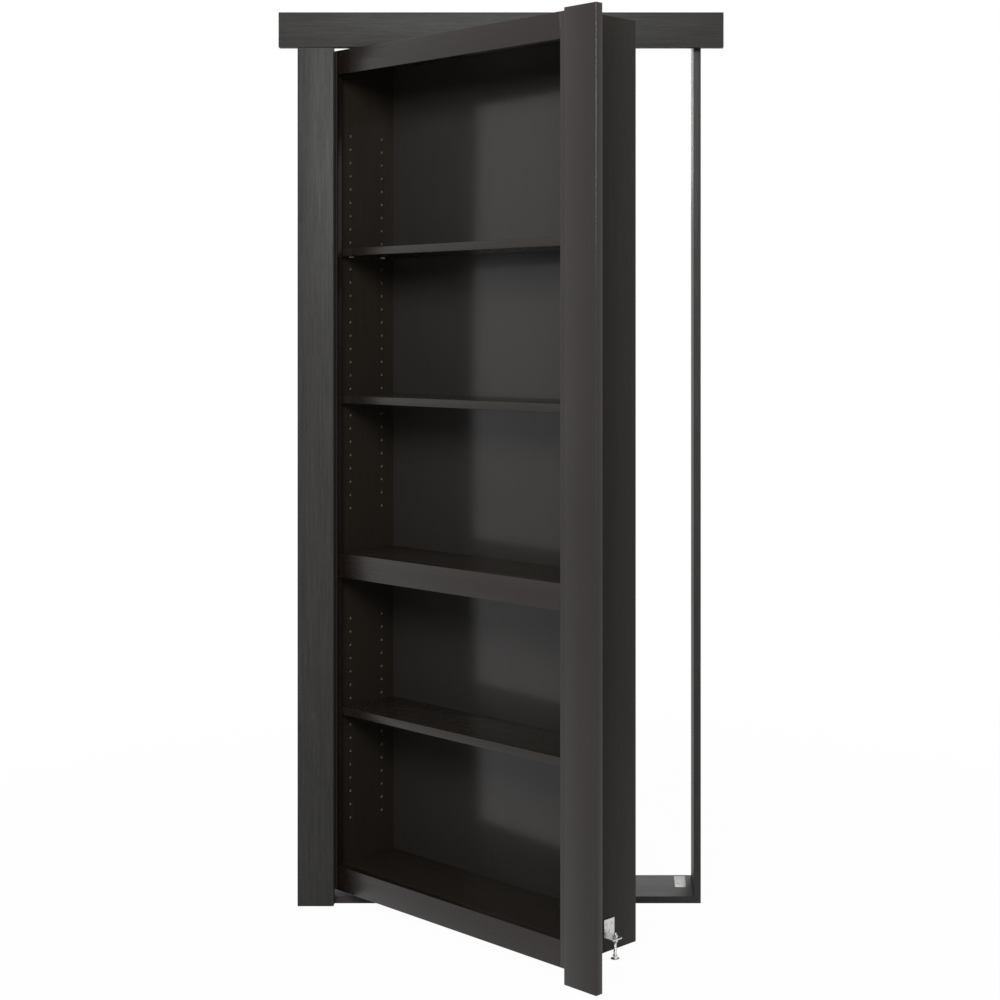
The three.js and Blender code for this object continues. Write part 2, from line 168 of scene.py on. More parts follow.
# The lamps
# A broad soft lamp stands high in front of the doorway and a weak one low in front of it. A third stands high
# behind the wall, and lights the sill through the open doorway.
def soft_lamp(name, place, aim, width, height, power):
    data = bpy.data.lights.new(name, "AREA")
    data.shape = "RECTANGLE"
    data.size = width
    data.size_y = height
    data.energy = power
    lamp = bpy.data.objects.new(name, data)
    lamp.location = place
    lamp.rotation_euler = (Vector(aim) - Vector(place)).to_track_quat("-Z", "Y").to_euler()
    scene.collection.objects.link(lamp)


soft_lamp("key_lamp", place=(-0.4, -4.4, 3.2), aim=(0, -0.25, 1.2), width=2.4, height=1.6, power=195)
soft_lamp("low_front_lamp", place=(0.2, -4.4, 0.9), aim=(0, -0.25, 0.7), width=2.4, height=1.0, power=14)
soft_lamp("sill_lamp", place=(0.6, 2.6, 2.6), aim=(0.3, 0, 0.4), width=1.6, height=1.6, power=38)

# How the bookcase stands open
# Its pieces are drawn shut, in the doorway, and turned together about the hinge pin.
hinge_joint = next(joint for joint in frame["joints"] if joint["name"] == "door_hinge")
body_of = {node: body for body, nodes in frame["record"]["behaviour"]["bodies"].items() for node in nodes}
open_angle = -math.radians(hinge_joint["range_deg"][0])
pin_place = Vector((hinge_joint["pos_m"][0], hinge_joint["pos_m"][1], 0))
swing = Matrix.Translation(pin_place) @ Matrix.Rotation(-open_angle, 4, "Z") @ Matrix.Translation(-pin_place)


def placing(node):
    return Matrix.Identity(4) if body_of[node] == "surround" else swing


def drawn_box(node):
    """The node's corners as it is drawn, with the bookcase shut."""
    back = placing(node).inverted()
    points = [back @ vertex.co for vertex in frame["nodes"][node].data.vertices]
    low = Vector([min(point[axis] for point in points) for axis in range(3)])
    high = Vector([max(point[axis] for point in points) for axis in range(3)])
    return low, high


# Jambs, sill and fixed casings
# Planed boards of solid wood line the opening, and two casings are nailed flat over their front edges. All have
# rounded arrises and are stained almost black under a satin lacquer. The grain runs along each board, and a
# number kept on its mesh gives every board its own piece of it.
grain_along = 7.0
grain_across = 210.0
grain_detail = 5.0
grain_roughness = 0.6
grain_distortion = 0.4
grain_share = 0.5
pore_along = 45.0
pore_across = 1100.0
pore_detail = 2.0
pore_roughness = 0.5
pore_share = 0.4
cloud_scale = 2.2
cloud_detail = 2.0
cloud_share = 0.1
darkest_stain = 0.36
palest_stain = 0.64
pore_relief_share = 0.7
grain_relief_share = 0.3
relief_depth = 0.0004
dark_grain_roughness = 0.1
grain_roughness_range = 0.12
lacquer_coat = 0.04
lacquer_coat_roughness = 0.3
# The colour sockets of a Mix node share their names with others, so they are found by number
mix_dark = 6
mix_light = 7
mix_color = 2

upright_grain = 2
level_grain = 0
casing_dark = (0.0224, 0.0217, 0.0209, 1)
casing_light = (0.0428, 0.0414, 0.0400, 1)
casing_roughness = 0.42
casing_relief = 0.5
casing_gloss = 0.10
jamb_roughness = 0.48
jamb_relief = 0.3
jamb_gloss = 0.14
sill_dark = (0.0255, 0.0225, 0.0215, 1)
sill_light = (0.0450, 0.0405, 0.0390, 1)

casing_ease = 0.0014
jamb_ease = 0.0008
arris_segments = 3
round_profile = 0.5
board_crease = math.radians(32)
board_numbers = itertools.count(1)
grain_offsets = (1.37, 0.71, 2.13)


def wood_finish(name, along, turned, dark, light, roughness, relief, gloss):
    """Stained wood with its grain along one axis, turned with the bookcase or straight in the wall."""
    finish = Finish(name)
    place = finish.node("ShaderNodeTexCoord", {}, {}, "Object")
    cut = finish.node("ShaderNodeAttribute", {"attribute_name": "cut"}, {}, "Vector")
    shifted = finish.node("ShaderNodeVectorMath", {"operation": "ADD"}, {0: place, 1: cut})
    turn = open_angle if turned else 0
    aligned = finish.node("ShaderNodeMapping", {}, {"Vector": shifted, "Rotation": (0, 0, turn)})

    def stretched(slow, fast):
        sizes = [fast, fast, fast]
        sizes[along] = slow
        return finish.node("ShaderNodeMapping", {}, {"Vector": aligned, "Scale": sizes})

    grain = finish.node("ShaderNodeTexNoise", {}, {
        "Vector": stretched(grain_along, grain_across), "Scale": 1.0, "Detail": grain_detail,
        "Roughness": grain_roughness, "Distortion": grain_distortion})
    pores = finish.node("ShaderNodeTexNoise", {}, {
        "Vector": stretched(pore_along, pore_across), "Scale": 1.0, "Detail": pore_detail,
        "Roughness": pore_roughness})
    cloud = finish.node("ShaderNodeTexNoise", {}, {
        "Vector": aligned, "Scale": cloud_scale, "Detail": cloud_detail})
    depth = finish.node("ShaderNodeMapRange", {}, {
        "Value": grain * grain_share + pores * pore_share + cloud * cloud_share,
        "From Min": darkest_stain, "From Max": palest_stain})
    tone = finish.node("ShaderNodeMix", {"data_type": "RGBA"}, {
        0: depth, mix_dark: dark, mix_light: light}, mix_color)
    bump = finish.node("ShaderNodeBump", {}, {
        "Height": pores * pore_relief_share + grain * grain_relief_share, "Strength": relief,
        "Distance": relief_depth})
    surface = finish.node("ShaderNodeBsdfPrincipled", {}, {
        "Base Color": tone, "Roughness": roughness + dark_grain_roughness - depth * grain_roughness_range,
        "Normal": bump, "Specular IOR Level": gloss, "Coat Weight": lacquer_coat,
        "Coat Roughness": lacquer_coat_roughness})
    finish.node("ShaderNodeOutputMaterial", {}, {"Surface": surface})
    return finish.material


def board_mesh(name, low, high, ease):
    """A board with rounded arrises, and its own number for the grain."""
    number = next(board_numbers)
    shape = bmesh.new()
    bmesh.ops.create_cube(shape, size=1.0)
    bmesh.ops.transform(shape, matrix=Matrix.Diagonal(Vector((*(high - low), 1))), verts=shape.verts)
    bmesh.ops.translate(shape, vec=(low + high) / 2, verts=shape.verts)
    bmesh.ops.bevel(
        shape, geom=shape.edges[:], offset=ease, segments=arris_segments, profile=round_profile,
        affect="EDGES", clamp_overlap=True)
    mesh = bpy.data.meshes.new(name)
    shape.to_mesh(mesh)
    shape.free()
    cut = mesh.attributes.new("cut", "FLOAT_VECTOR", "POINT")
    for item in cut.data:
        item.vector = [number * offset for offset in grain_offsets]
    return mesh


def shade(mesh, crease):
    """Smooth shading, with edges sharp where they turn by more than the crease angle."""
    mesh.shade_smooth()
    mesh.set_sharp_from_angle(angle=crease)


def add_piece(name, mesh, materials, body, nodes):
    piece = bpy.data.objects.new(name, mesh)
    # Clearing the slots would put every face on the first material, so slots that are right stay
    if list(mesh.materials) != materials:
        mesh.materials.clear()
        for material in materials:
            mesh.materials.append(material)
    scene.collection.objects.link(piece)
    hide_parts(*nodes)
    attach(piece, body)


def add_board(node, material, ease):
    low, high = drawn_box(node)
    mesh = board_mesh(node + "_board", low, high, ease)
    mesh.transform(placing(node))
    shade(mesh, board_crease)
    add_piece(node + "_board", mesh, [material], body_of[node], [node])


casing_wood_upright = wood_finish(
    "casing_wood_upright", upright_grain, False, casing_dark, casing_light,
    casing_roughness, casing_relief, casing_gloss)
casing_wood_level = wood_finish(
    "casing_wood_level", level_grain, False, casing_dark, casing_light,
    casing_roughness, casing_relief, casing_gloss)
jamb_wood_upright = wood_finish(
    "jamb_wood_upright", upright_grain, False, casing_dark, casing_light,
    jamb_roughness, jamb_relief, jamb_gloss)
sill_wood_level = wood_finish(
    "sill_wood_level", level_grain, False, sill_dark, sill_light,
    casing_roughness, casing_relief, casing_gloss)

add_board("hinge_jamb", jamb_wood_upright, jamb_ease)
add_board("latch_jamb", jamb_wood_upright, jamb_ease)
add_board("head_jamb", casing_wood_level, jamb_ease)
add_board("sill", sill_wood_level, jamb_ease)
add_board("hinge_casing", casing_wood_upright, casing_ease)
add_board("head_casing", casing_wood_level, casing_ease)

# The face frame and the latch casing
# Stiles and rails of solid wood, all of one thickness, are glued edge to edge on the front of the case. The
# latch casing is glued over the latch stile's outer edge and hides the gap there. All are stained darker than
# the boards on the wall, and are glossier.
door_dark = (0.0090, 0.0056, 0.0045, 1)
door_light = (0.0139, 0.0089, 0.0072, 1)
door_roughness = 0.2
door_relief = 0.2
door_gloss = 0.40
frame_ease = 0.0007

door_wood_upright = wood_finish(
    "door_wood_upright", upright_grain, True, door_dark, door_light, door_roughness, door_relief, door_gloss)
door_wood_level = wood_finish(
    "door_wood_level", level_grain, True, door_dark, door_light, door_roughness, door_relief, door_gloss)

add_board("hinge_stile", door_wood_upright, frame_ease)
add_board("latch_stile", door_wood_upright, frame_ease)
add_board("top_rail", door_wood_level, frame_ease)
add_board("middle_rail", door_wood_level, frame_ease)
add_board("bottom_rail", door_wood_level, frame_ease)
add_board("latch_casing", door_wood_upright, casing_ease)

# The case's level boards, its back and the loose shelves
# All are veneered board with a smooth dark lacquer. The top, the fixed shelf and the bottom are glued between the
# sides, the thin back lies in the sides' rebates, and three shelves lie loose on their supports.
case_dark = (0.0130, 0.0104, 0.0080, 1)
case_light = (0.0196, 0.0158, 0.0122, 1)
case_level_roughness = 0.3
case_relief = 0.2
case_gloss = 0.11
case_ease = 0.0006
back_dark = (0.0255, 0.0230, 0.0215, 1)
back_light = (0.0300, 0.0272, 0.0255, 1)
back_roughness = 0.12
back_relief = 0.1
back_gloss = 0.30
shelf_roughness = 0.2
shelf_relief = 0.15
shelf_gloss = 0.34
shelf_ease = 0.0014

case_wood_level = wood_finish(
    "case_wood_level", level_grain, True, case_dark, case_light, case_level_roughness, case_relief, case_gloss)
back_wood_upright = wood_finish(
    "back_wood_upright", upright_grain, True, back_dark, back_light, back_roughness, back_relief, back_gloss)
shelf_wood_level = wood_finish(
    "shelf_wood_level", level_grain, True, case_dark, case_light, shelf_roughness, shelf_relief, shelf_gloss)

for case_node in ("top_panel", "fixed_shelf", "bottom_panel"):
    add_board(case_node, case_wood_level, case_ease)
add_board("back_panel", back_wood_upright, case_ease)
for shelf_node in ("upper_shelf", "middle_shelf", "lower_shelf"):
    add_board(shelf_node, shelf_wood_level, shelf_ease)

# The side panels
# Veneered boards with a rebate for the back and two columns of shelf holes, drilled after lacquering, so raw
# board shows in them and round their broken rims. The holes are one drill bit, repeated down a grid of points.
case_upright_roughness = 0.34
peg_pitch = 0.032
peg_radius = 0.0025
peg_depth = 0.012
peg_rim = 0.0006
peg_rise = 0.1015
peg_sides = 16
lower_rows = 16
upper_rows = 29
back_rebate_width = 0.0095
back_rebate_clearance = 0.0003
rebate_ease = 0.00005
cut_overrun = 0.004
double_distance = 1e-7
raw_dark = (0.075, 0.067, 0.058, 1)
raw_light = (0.135, 0.12, 0.104, 1)
raw_fibre_scale = 900.0
raw_fibre_detail = 3.0
raw_roughness = 0.8

case_wood_upright = wood_finish(
    "case_wood_upright", upright_grain, True, case_dark, case_light,
    case_upright_roughness, case_relief, case_gloss)

raw_board = Finish("raw_board")
raw_place = raw_board.node("ShaderNodeTexCoord", {}, {}, "Object")
raw_fibre = raw_board.node("ShaderNodeTexNoise", {}, {
    "Vector": raw_place, "Scale": raw_fibre_scale, "Detail": raw_fibre_detail})
raw_tone = raw_board.node("ShaderNodeMix", {"data_type": "RGBA"}, {
    0: raw_fibre, mix_dark: raw_dark, mix_light: raw_light}, mix_color)
raw_surface = raw_board.node("ShaderNodeBsdfPrincipled", {}, {"Base Color": raw_tone, "Roughness": raw_roughness})
raw_board.node("ShaderNodeOutputMaterial", {}, {"Surface": raw_surface})


def closed_mesh(name, points, faces):
    """A mesh with its doubled points merged and its faces turned outwards."""
    mesh = bpy.data.meshes.new(name)
    mesh.from_pydata(points, [], faces)
    shape = bmesh.new()
    shape.from_mesh(mesh)
    bmesh.ops.remove_doubles(shape, verts=shape.verts, dist=double_distance)
    bmesh.ops.recalc_face_normals(shape, faces=shape.faces)
    shape.to_mesh(mesh)
    shape.free()
    return mesh


def lathe_mesh(name, profile, sides):
    """A closed round solid from a profile of (radius, height) points.

    The profile starts and ends on the axis, or ends where it starts.
    """
    points = []
    faces = []
    rings = []
    for radius, height in profile:
        if radius == 0:
            rings.append([len(points)] * sides)
            points.append((0, 0, height))
        else:
            rings.append(list(range(len(points), len(points) + sides)))
            for k in range(sides):
                angle = 2 * math.pi * k / sides
                points.append((radius * math.cos(angle), radius * math.sin(angle), height))
    for below, above in zip(rings, rings[1:]):
        for k in range(sides):
            corners = [below[k], below[(k + 1) % sides], above[(k + 1) % sides], above[k]]
            faces.append(list(dict.fromkeys(corners)))
    return closed_mesh(name, points, [face for face in faces if len(face) > 2])


def tree_of(name, inputs):
    """An empty Geometry Nodes tree with named inputs, and a table of their sockets' identifiers."""
    tree = bpy.data.node_groups.new(name, "GeometryNodeTree")
    tree.interface.new_socket("Geometry", in_out="INPUT", socket_type="NodeSocketGeometry")
    sockets = {}
    for label, kind in inputs:
        sockets[label] = tree.interface.new_socket(label, in_out="INPUT", socket_type=kind).identifier
    tree.interface.new_socket("Geometry", in_out="OUTPUT", socket_type="NodeSocketGeometry")
    return tree, sockets


def step(tree, kind, settings, sockets):
    """A node of a Geometry Nodes tree, with its settings and its sockets' values or links."""
    made = tree.nodes.new(kind)
    for key, value in settings.items():
        setattr(made, key, value)
    for key, value in sockets.items():
        if isinstance(value, bpy.types.NodeSocket):
            tree.links.new(value, made.inputs[key])
        else:
            made.inputs[key].default_value = value
    return made


def workpiece(name, mesh):
    """An object that modifiers read, and that is removed once the mesh is made."""
    made = bpy.data.objects.new(name, mesh)
    scene.collection.objects.link(made)
    return made


def settle(piece, tools):
    """The plain mesh that the piece's modifiers make. The piece and its tools are removed."""
    bpy.context.view_layer.update()
    evaluated = piece.evaluated_get(bpy.context.evaluated_depsgraph_get())
    mesh = bpy.data.meshes.new_from_object(evaluated)
    piece.modifiers.clear()
    for spare in (piece, *tools):
        bpy.data.objects.remove(spare)
    return mesh


drill_tree, drill_inputs = tree_of("drill_shelf_holes", [
    ("Drill Bit", "NodeSocketObject"), ("Holes", "NodeSocketObject"), ("Hole Material", "NodeSocketMaterial")])
drill_in = step(drill_tree, "NodeGroupInput", {}, {}).outputs
drill_points = step(drill_tree, "GeometryNodeObjectInfo", {}, {"Object": drill_in["Holes"]}).outputs["Geometry"]
drill_bit = step(drill_tree, "GeometryNodeObjectInfo", {}, {"Object": drill_in["Drill Bit"]}).outputs["Geometry"]
drill_raw = step(drill_tree, "GeometryNodeSetMaterial", {}, {
    "Geometry": drill_bit, "Material": drill_in["Hole Material"]}).outputs["Geometry"]
drill_copies = step(drill_tree, "GeometryNodeInstanceOnPoints", {}, {
    "Points": drill_points, "Instance": drill_raw}).outputs["Instances"]
drill_real = step(drill_tree, "GeometryNodeRealizeInstances", {}, {"Geometry": drill_copies}).outputs["Geometry"]
drill_cut = step(drill_tree, "GeometryNodeMeshBoolean", {"operation": "DIFFERENCE", "solver": "MANIFOLD"}, {
    "Mesh 1": drill_in["Geometry"]})
drill_tree.links.new(drill_real, drill_cut.inputs["Mesh 2"])
step(drill_tree, "NodeGroupOutput", {}, {"Geometry": drill_cut.outputs["Mesh"]})


def add_side_panel(node, inward, supports):
    low, high = drawn_box(node)
    inner = high.x if inward > 0 else low.x
    columns = [(drawn_box(support)[0].y + drawn_box(support)[1].y) / 2 for support in supports]
    starts = [(drawn_box("bottom_panel")[1].z, lower_rows), (drawn_box("fixed_shelf")[1].z, upper_rows)]
    holes = [
        (inner, y, start + peg_rise + row * peg_pitch)
        for y in columns for start, rows in starts for row in range(rows)
    ]
    points = bpy.data.meshes.new(node + "_points")
    points.from_pydata(holes, [], [])
    guide = workpiece(node + "_points", points)

    blank = workpiece(node + "_blank", board_mesh(node + "_blank", low, high, case_ease))
    back_front = drawn_box("back_panel")[0].y
    edges = sorted((inner - inward * back_rebate_width, inner + inward * cut_overrun))
    rebate = workpiece(node + "_rebate", board_mesh(
        node + "_rebate",
        Vector((edges[0], back_front - back_rebate_clearance, low.z - cut_overrun)),
        Vector((edges[1], high.y + cut_overrun, high.z + cut_overrun)), rebate_ease))
    for wooden in (blank, rebate):
        wooden.data.materials.append(case_wood_upright)
    bit_mesh = lathe_mesh(node + "_bit", [
        (0, -peg_depth), (peg_radius, -peg_depth), (peg_radius, -peg_rim), (peg_radius + peg_rim, 0),
        (peg_radius + peg_rim, cut_overrun), (0, cut_overrun)], peg_sides)
    bit_mesh.transform(Matrix.Rotation(quarter_turn * inward, 4, "Y"))
    bit = workpiece(node + "_bit", bit_mesh)
    cutter = blank.modifiers.new("rebate", "BOOLEAN")
    cutter.operation = "DIFFERENCE"
    cutter.object = rebate
    drill = blank.modifiers.new("holes", "NODES")
    drill.node_group = drill_tree
    drill[drill_inputs["Drill Bit"]] = bit
    drill[drill_inputs["Holes"]] = guide
    drill[drill_inputs["Hole Material"]] = raw_board.material
    mesh = settle(blank, [guide, rebate, bit])
    mesh.transform(placing(node))
    shade(mesh, board_crease)
    add_piece(node + "_drilled", mesh, list(mesh.materials), body_of[node], [node])


add_side_panel("hinge_side_panel", 1, ("upper_support_hinge_front", "upper_support_hinge_back"))
add_side_panel("latch_side_panel", -1, ("upper_support_latch_front", "upper_support_latch_back"))

# The continuous hinge
# Two strips of steel, coated dark bronze, are each rolled into every second knuckle, and one long pin runs
# through them all. The fixed strip lies on the hinge casing's inner edge, and the moving one on the front of the
# hinge stile.
spangle_detail = 4.0
spangle_roughness = 0.14
scratch_ratio = 6
scratch_detail = 2.0
scratch_relief = 0.15
scratch_depth = 0.0002
metal_crease = math.radians(34)
pin_crease = math.radians(40)

knuckle_radius = 0.0036
knuckle_bore = 0.00195
knuckle_sides = 24
knuckle_pitch = 0.051
knuckle_gap = 0.0004
knuckle_edge = 0.0003
leaf_thickness = 0.0016
leaf_inset = 0.00025
fixed_leaf_width = 0.014
moving_leaf_width = 0.034
pin_clearance = 0.0004
pin_head_radius = 0.0028
pin_head_dome = 0.001


def metal_finish(name, dark, light, roughness, spangle, metallic, gloss):
    """Coated steel with a faint spangle and fine scratches."""
    finish = Finish(name)
    place = finish.node("ShaderNodeTexCoord", {}, {}, "Object")
    cloud = finish.node("ShaderNodeTexNoise", {}, {"Vector": place, "Scale": spangle, "Detail": spangle_detail})
    scratch = finish.node("ShaderNodeTexNoise", {}, {
        "Vector": place, "Scale": spangle * scratch_ratio, "Detail": scratch_detail})
    tone = finish.node("ShaderNodeMix", {"data_type": "RGBA"}, {
        0: cloud, mix_dark: dark, mix_light: light}, mix_color)
    bump = finish.node("ShaderNodeBump", {}, {
        "Height": scratch, "Strength": scratch_relief, "Distance": scratch_depth})
    surface = finish.node("ShaderNodeBsdfPrincipled", {}, {
        "Base Color": tone, "Roughness": roughness + cloud * spangle_roughness, "Metallic": metallic,
        "Normal": bump, "Specular IOR Level": gloss})
    finish.node("ShaderNodeOutputMaterial", {}, {"Surface": surface})
    return finish.material


bronze = metal_finish(
    "dark_bronze", dark=(0.0070, 0.0064, 0.0060, 1), light=(0.013, 0.0115, 0.0105, 1),
    roughness=0.5, spangle=200.0, metallic=0.0, gloss=0.12)

# Each point of the tree's mesh holds the turn of the copy that stands on it
copies_tree, copies_inputs = tree_of("copies_on_points", [
    ("Item", "NodeSocketObject"), ("Finish", "NodeSocketMaterial")])
copies_in = step(copies_tree, "NodeGroupInput", {}, {}).outputs
copies_item = step(copies_tree, "GeometryNodeObjectInfo", {}, {"Object": copies_in["Item"]}).outputs["Geometry"]
copies_turn = step(copies_tree, "GeometryNodeInputNamedAttribute", {"data_type": "FLOAT_VECTOR"}, {"Name": "turn"})
copies_spin = step(copies_tree, "FunctionNodeEulerToRotation", {}, {"Euler": copies_turn.outputs["Attribute"]})
copies_made = step(copies_tree, "GeometryNodeInstanceOnPoints", {}, {
    "Points": copies_in["Geometry"], "Instance": copies_item,
    "Rotation": copies_spin.outputs["Rotation"]}).outputs["Instances"]
copies_real = step(copies_tree, "GeometryNodeRealizeInstances", {}, {"Geometry": copies_made}).outputs["Geometry"]
copies_done = step(copies_tree, "GeometryNodeSetMaterial", {}, {
    "Geometry": copies_real, "Material": copies_in["Finish"]}).outputs["Geometry"]
step(copies_tree, "NodeGroupOutput", {}, {"Geometry": copies_done})


def copies_mesh(name, item_mesh, places, material):
    """One mesh of the item at each place, where a place is a point and the item's turn there."""
    points = bpy.data.meshes.new(name + "_points")
    points.from_pydata([point for point, turn in places], [], [])
    turns = points.attributes.new("turn", "FLOAT_VECTOR", "POINT")
    for entry, (point, turn) in zip(turns.data, places):
        entry.vector = turn
    holder = workpiece(name + "_holder", points)
    item = workpiece(name + "_item", item_mesh)
    modifier = holder.modifiers.new("copies", "NODES")
    modifier.node_group = copies_tree
    modifier[copies_inputs["Item"]] = item
    modifier[copies_inputs["Finish"]] = material
    mesh = settle(holder, [item])
    shade(mesh, metal_crease)
    return mesh


hinge_low = drawn_box("fixed_hinge_leaf")[0].z
hinge_high = drawn_box("fixed_hinge_leaf")[1].z
hinge_bottom = hinge_low - knuckle_gap / 2
knuckle_count = 2 * round((hinge_high - hinge_low) / knuckle_pitch / 2) + 1
knuckle_step = (hinge_high - hinge_low + knuckle_gap) / knuckle_count
knuckle_length = knuckle_step - knuckle_gap

knuckle_mesh = lathe_mesh("knuckle", [
    (knuckle_radius - knuckle_edge, -knuckle_length / 2),
    (knuckle_radius, -knuckle_length / 2 + knuckle_edge),
    (knuckle_radius, knuckle_length / 2 - knuckle_edge),
    (knuckle_radius - knuckle_edge, knuckle_length / 2),
    (knuckle_bore, knuckle_length / 2),
    (knuckle_bore, -knuckle_length / 2),
    (knuckle_radius - knuckle_edge, -knuckle_length / 2),
], knuckle_sides)


def add_hinge_leaf(node, first, width, strip_turn):
    centres = [hinge_bottom + (index + 0.5) * knuckle_step for index in range(first, knuckle_count, 2)]
    places = [((pin_place.x, pin_place.y, centre), (0, 0, 0)) for centre in centres]
    shape = bmesh.new()
    shape.from_mesh(copies_mesh(node + "_knuckles", knuckle_mesh, places, bronze))
    outer = knuckle_radius - leaf_inset
    strip_end = -knuckle_radius - knuckle_gap
    parts = [((-width, strip_end), (hinge_low, hinge_high))]
    for centre in centres:
        parts.append((
            (strip_end, -knuckle_radius / 2), (centre - knuckle_length / 2, centre + knuckle_length / 2)))
    turning = Matrix.Translation(pin_place) @ Matrix.Rotation(strip_turn, 4, "Z")
    for (near, far), (bottom, top) in parts:
        made = bmesh.ops.create_cube(shape, size=1.0)["verts"]
        size = Vector((far - near, leaf_thickness, top - bottom))
        middle = Vector(((near + far) / 2, outer - leaf_thickness / 2, (bottom + top) / 2))
        placed = turning @ Matrix.Translation(middle) @ Matrix.Diagonal(Vector((*size, 1)))
        bmesh.ops.transform(shape, matrix=placed, verts=made)
    mesh = bpy.data.meshes.new(node + "_rolled")
    shape.to_mesh(mesh)
    shape.free()
    mesh.transform(placing(node))
    shade(mesh, metal_crease)
    add_piece(node + "_rolled", mesh, [bronze], body_of[node], [node])


add_hinge_leaf("fixed_hinge_leaf", 0, fixed_leaf_width, quarter_turn)
add_hinge_leaf("moving_hinge_leaf", 1, moving_leaf_width, 0)

pin_low = drawn_box("hinge_pin")[0].z
pin_high = drawn_box("hinge_pin")[1].z
pin_radius = knuckle_bore - pin_clearance
pin_mesh = lathe_mesh("hinge_pin_turned", [
    (0, pin_low), (pin_head_radius - pin_head_dome, pin_low), (pin_head_radius, pin_low + pin_head_dome),
    (pin_head_radius, pin_low + 2 * pin_head_dome), (pin_radius, pin_low + 2 * pin_head_dome),
    (pin_radius, pin_high - 2 * pin_head_dome), (pin_head_radius, pin_high - 2 * pin_head_dome),
    (pin_head_radius, pin_high - pin_head_dome), (pin_head_radius - pin_head_dome, pin_high), (0, pin_high),
], knuckle_sides)
pin_mesh.transform(Matrix.Translation(pin_place))
shade(pin_mesh, pin_crease)
add_piece("hinge_pin_turned", pin_mesh, [bronze], "surround", ["hinge_pin"])

# The shelf supports
# Each is a strip of nickel plated steel, pressed to an angle, with a round pin riveted to it. The pin is pushed
# into a shelf hole, the strip's upright leg stands beside the shelf's end, and the shelf lies on the ledge.
support_width = 0.008
support_thickness = 0.0012
support_leg_low = -0.004
support_leg_high = 0.004
support_ledge = 0.009
support_stand_off = 0.0003
support_pin_radius = 0.0021
support_pin_clearance = 0.0005
support_edge = 0.0003

nickel = metal_finish(
    "nickel", dark=(0.84, 0.84, 0.83, 1), light=(0.96, 0.96, 0.95, 1),
    roughness=0.26, spangle=300.0, metallic=0.1, gloss=0.8)

leg_face = support_stand_off + support_thickness
ledge_top = support_leg_low + support_thickness
sheet_outline = [
    (support_stand_off, support_leg_low), (support_ledge, support_leg_low), (support_ledge, ledge_top),
    (leg_face, ledge_top), (leg_face, support_leg_high), (support_stand_off, support_leg_high),
]
sheet_shape = bmesh.new()
sheet_end = sheet_shape.faces.new(
    [sheet_shape.verts.new((x, -support_width / 2, z)) for x, z in sheet_outline])
sheet_run = bmesh.ops.extrude_face_region(sheet_shape, geom=[sheet_end])["geom"]
sheet_far = [item for item in sheet_run if isinstance(item, bmesh.types.BMVert)]
bmesh.ops.translate(sheet_shape, vec=(0, support_width, 0), verts=sheet_far)
bmesh.ops.recalc_face_normals(sheet_shape, faces=sheet_shape.faces)
bmesh.ops.bevel(
    sheet_shape, geom=sheet_shape.edges[:], offset=support_edge, segments=arris_segments, profile=round_profile,
    affect="EDGES", clamp_overlap=True)
support_sheet = bpy.data.meshes.new("support_sheet")
sheet_shape.to_mesh(support_sheet)
sheet_shape.free()


def joined_mesh(name, meshes):
    shape = bmesh.new()
    for mesh in meshes:
        shape.from_mesh(mesh)
    joined = bpy.data.meshes.new(name)
    shape.to_mesh(joined)
    shape.free()
    return joined


support_pin_end = support_stand_off - peg_depth + support_pin_clearance
support_pin_root = support_stand_off + support_thickness / 2
support_pin = lathe_mesh("support_pin", [
    (0, support_pin_end), (support_pin_radius - support_edge, support_pin_end),
    (support_pin_radius, support_pin_end + support_edge), (support_pin_radius, support_pin_root),
    (0, support_pin_root),
], peg_sides)
support_pin.transform(Matrix.Rotation(quarter_turn, 4, "Y"))
support_mesh = joined_mesh("shelf_support", [support_sheet, support_pin])

for shelf in ("upper", "middle", "lower"):
    support_nodes = []
    support_places = []
    for side, inward, panel in (("hinge", 1, "hinge_side_panel"), ("latch", -1, "latch_side_panel")):
        low, high = drawn_box(panel)
        wall = high.x if inward > 0 else low.x
        facing = 0 if inward > 0 else math.pi
        for row in ("front", "back"):
            support_node = f"{shelf}_support_{side}_{row}"
            support_low, support_high = drawn_box(support_node)
            middle = (support_low.y + support_high.y) / 2
            support_nodes.append(support_node)
            support_places.append(((wall, middle, support_high.z - support_leg_high), (0, 0, facing)))
    supports_mesh = copies_mesh(shelf + "_supports", support_mesh, support_places, nickel)
    supports_mesh.transform(swing)
    add_piece(shelf + "_shelf_supports", supports_mesh, [nickel], "bookcase", support_nodes)

# Screws of the foot's bracket and of the strike plate
# Countersunk steel screws with a cross recess, their heads level with the metal that they hold. The bracket's are
# plated with bright zinc like the bracket, and the plate's have its dull, cloudy zinc.
screw_radius = 0.0036
screw_head_height = 0.0014
screw_shank_radius = 0.0018
screw_length = 0.0138
screw_rings = 9
screw_sides = 32
recess_reach_share = 0.62
recess_width = 0.0011
recess_depth = 0.0009
screw_crown = 0.0002
screw_clearance = 0.0003
bracket_screw_spins = (0.3, 0.9, 0)
strike_screw_spins = (0.4, 1.1)

zinc = metal_finish(
    "bright_zinc", dark=(0.46, 0.46, 0.448, 1), light=(0.80, 0.80, 0.78, 1),
    roughness=0.22, spangle=240.0, metallic=0.92, gloss=0.5)
plate_zinc = metal_finish(
    "cloudy_zinc", dark=(0.20, 0.20, 0.193, 1), light=(0.44, 0.44, 0.425, 1),
    roughness=0.36, spangle=260.0, metallic=0.5, gloss=0.5)

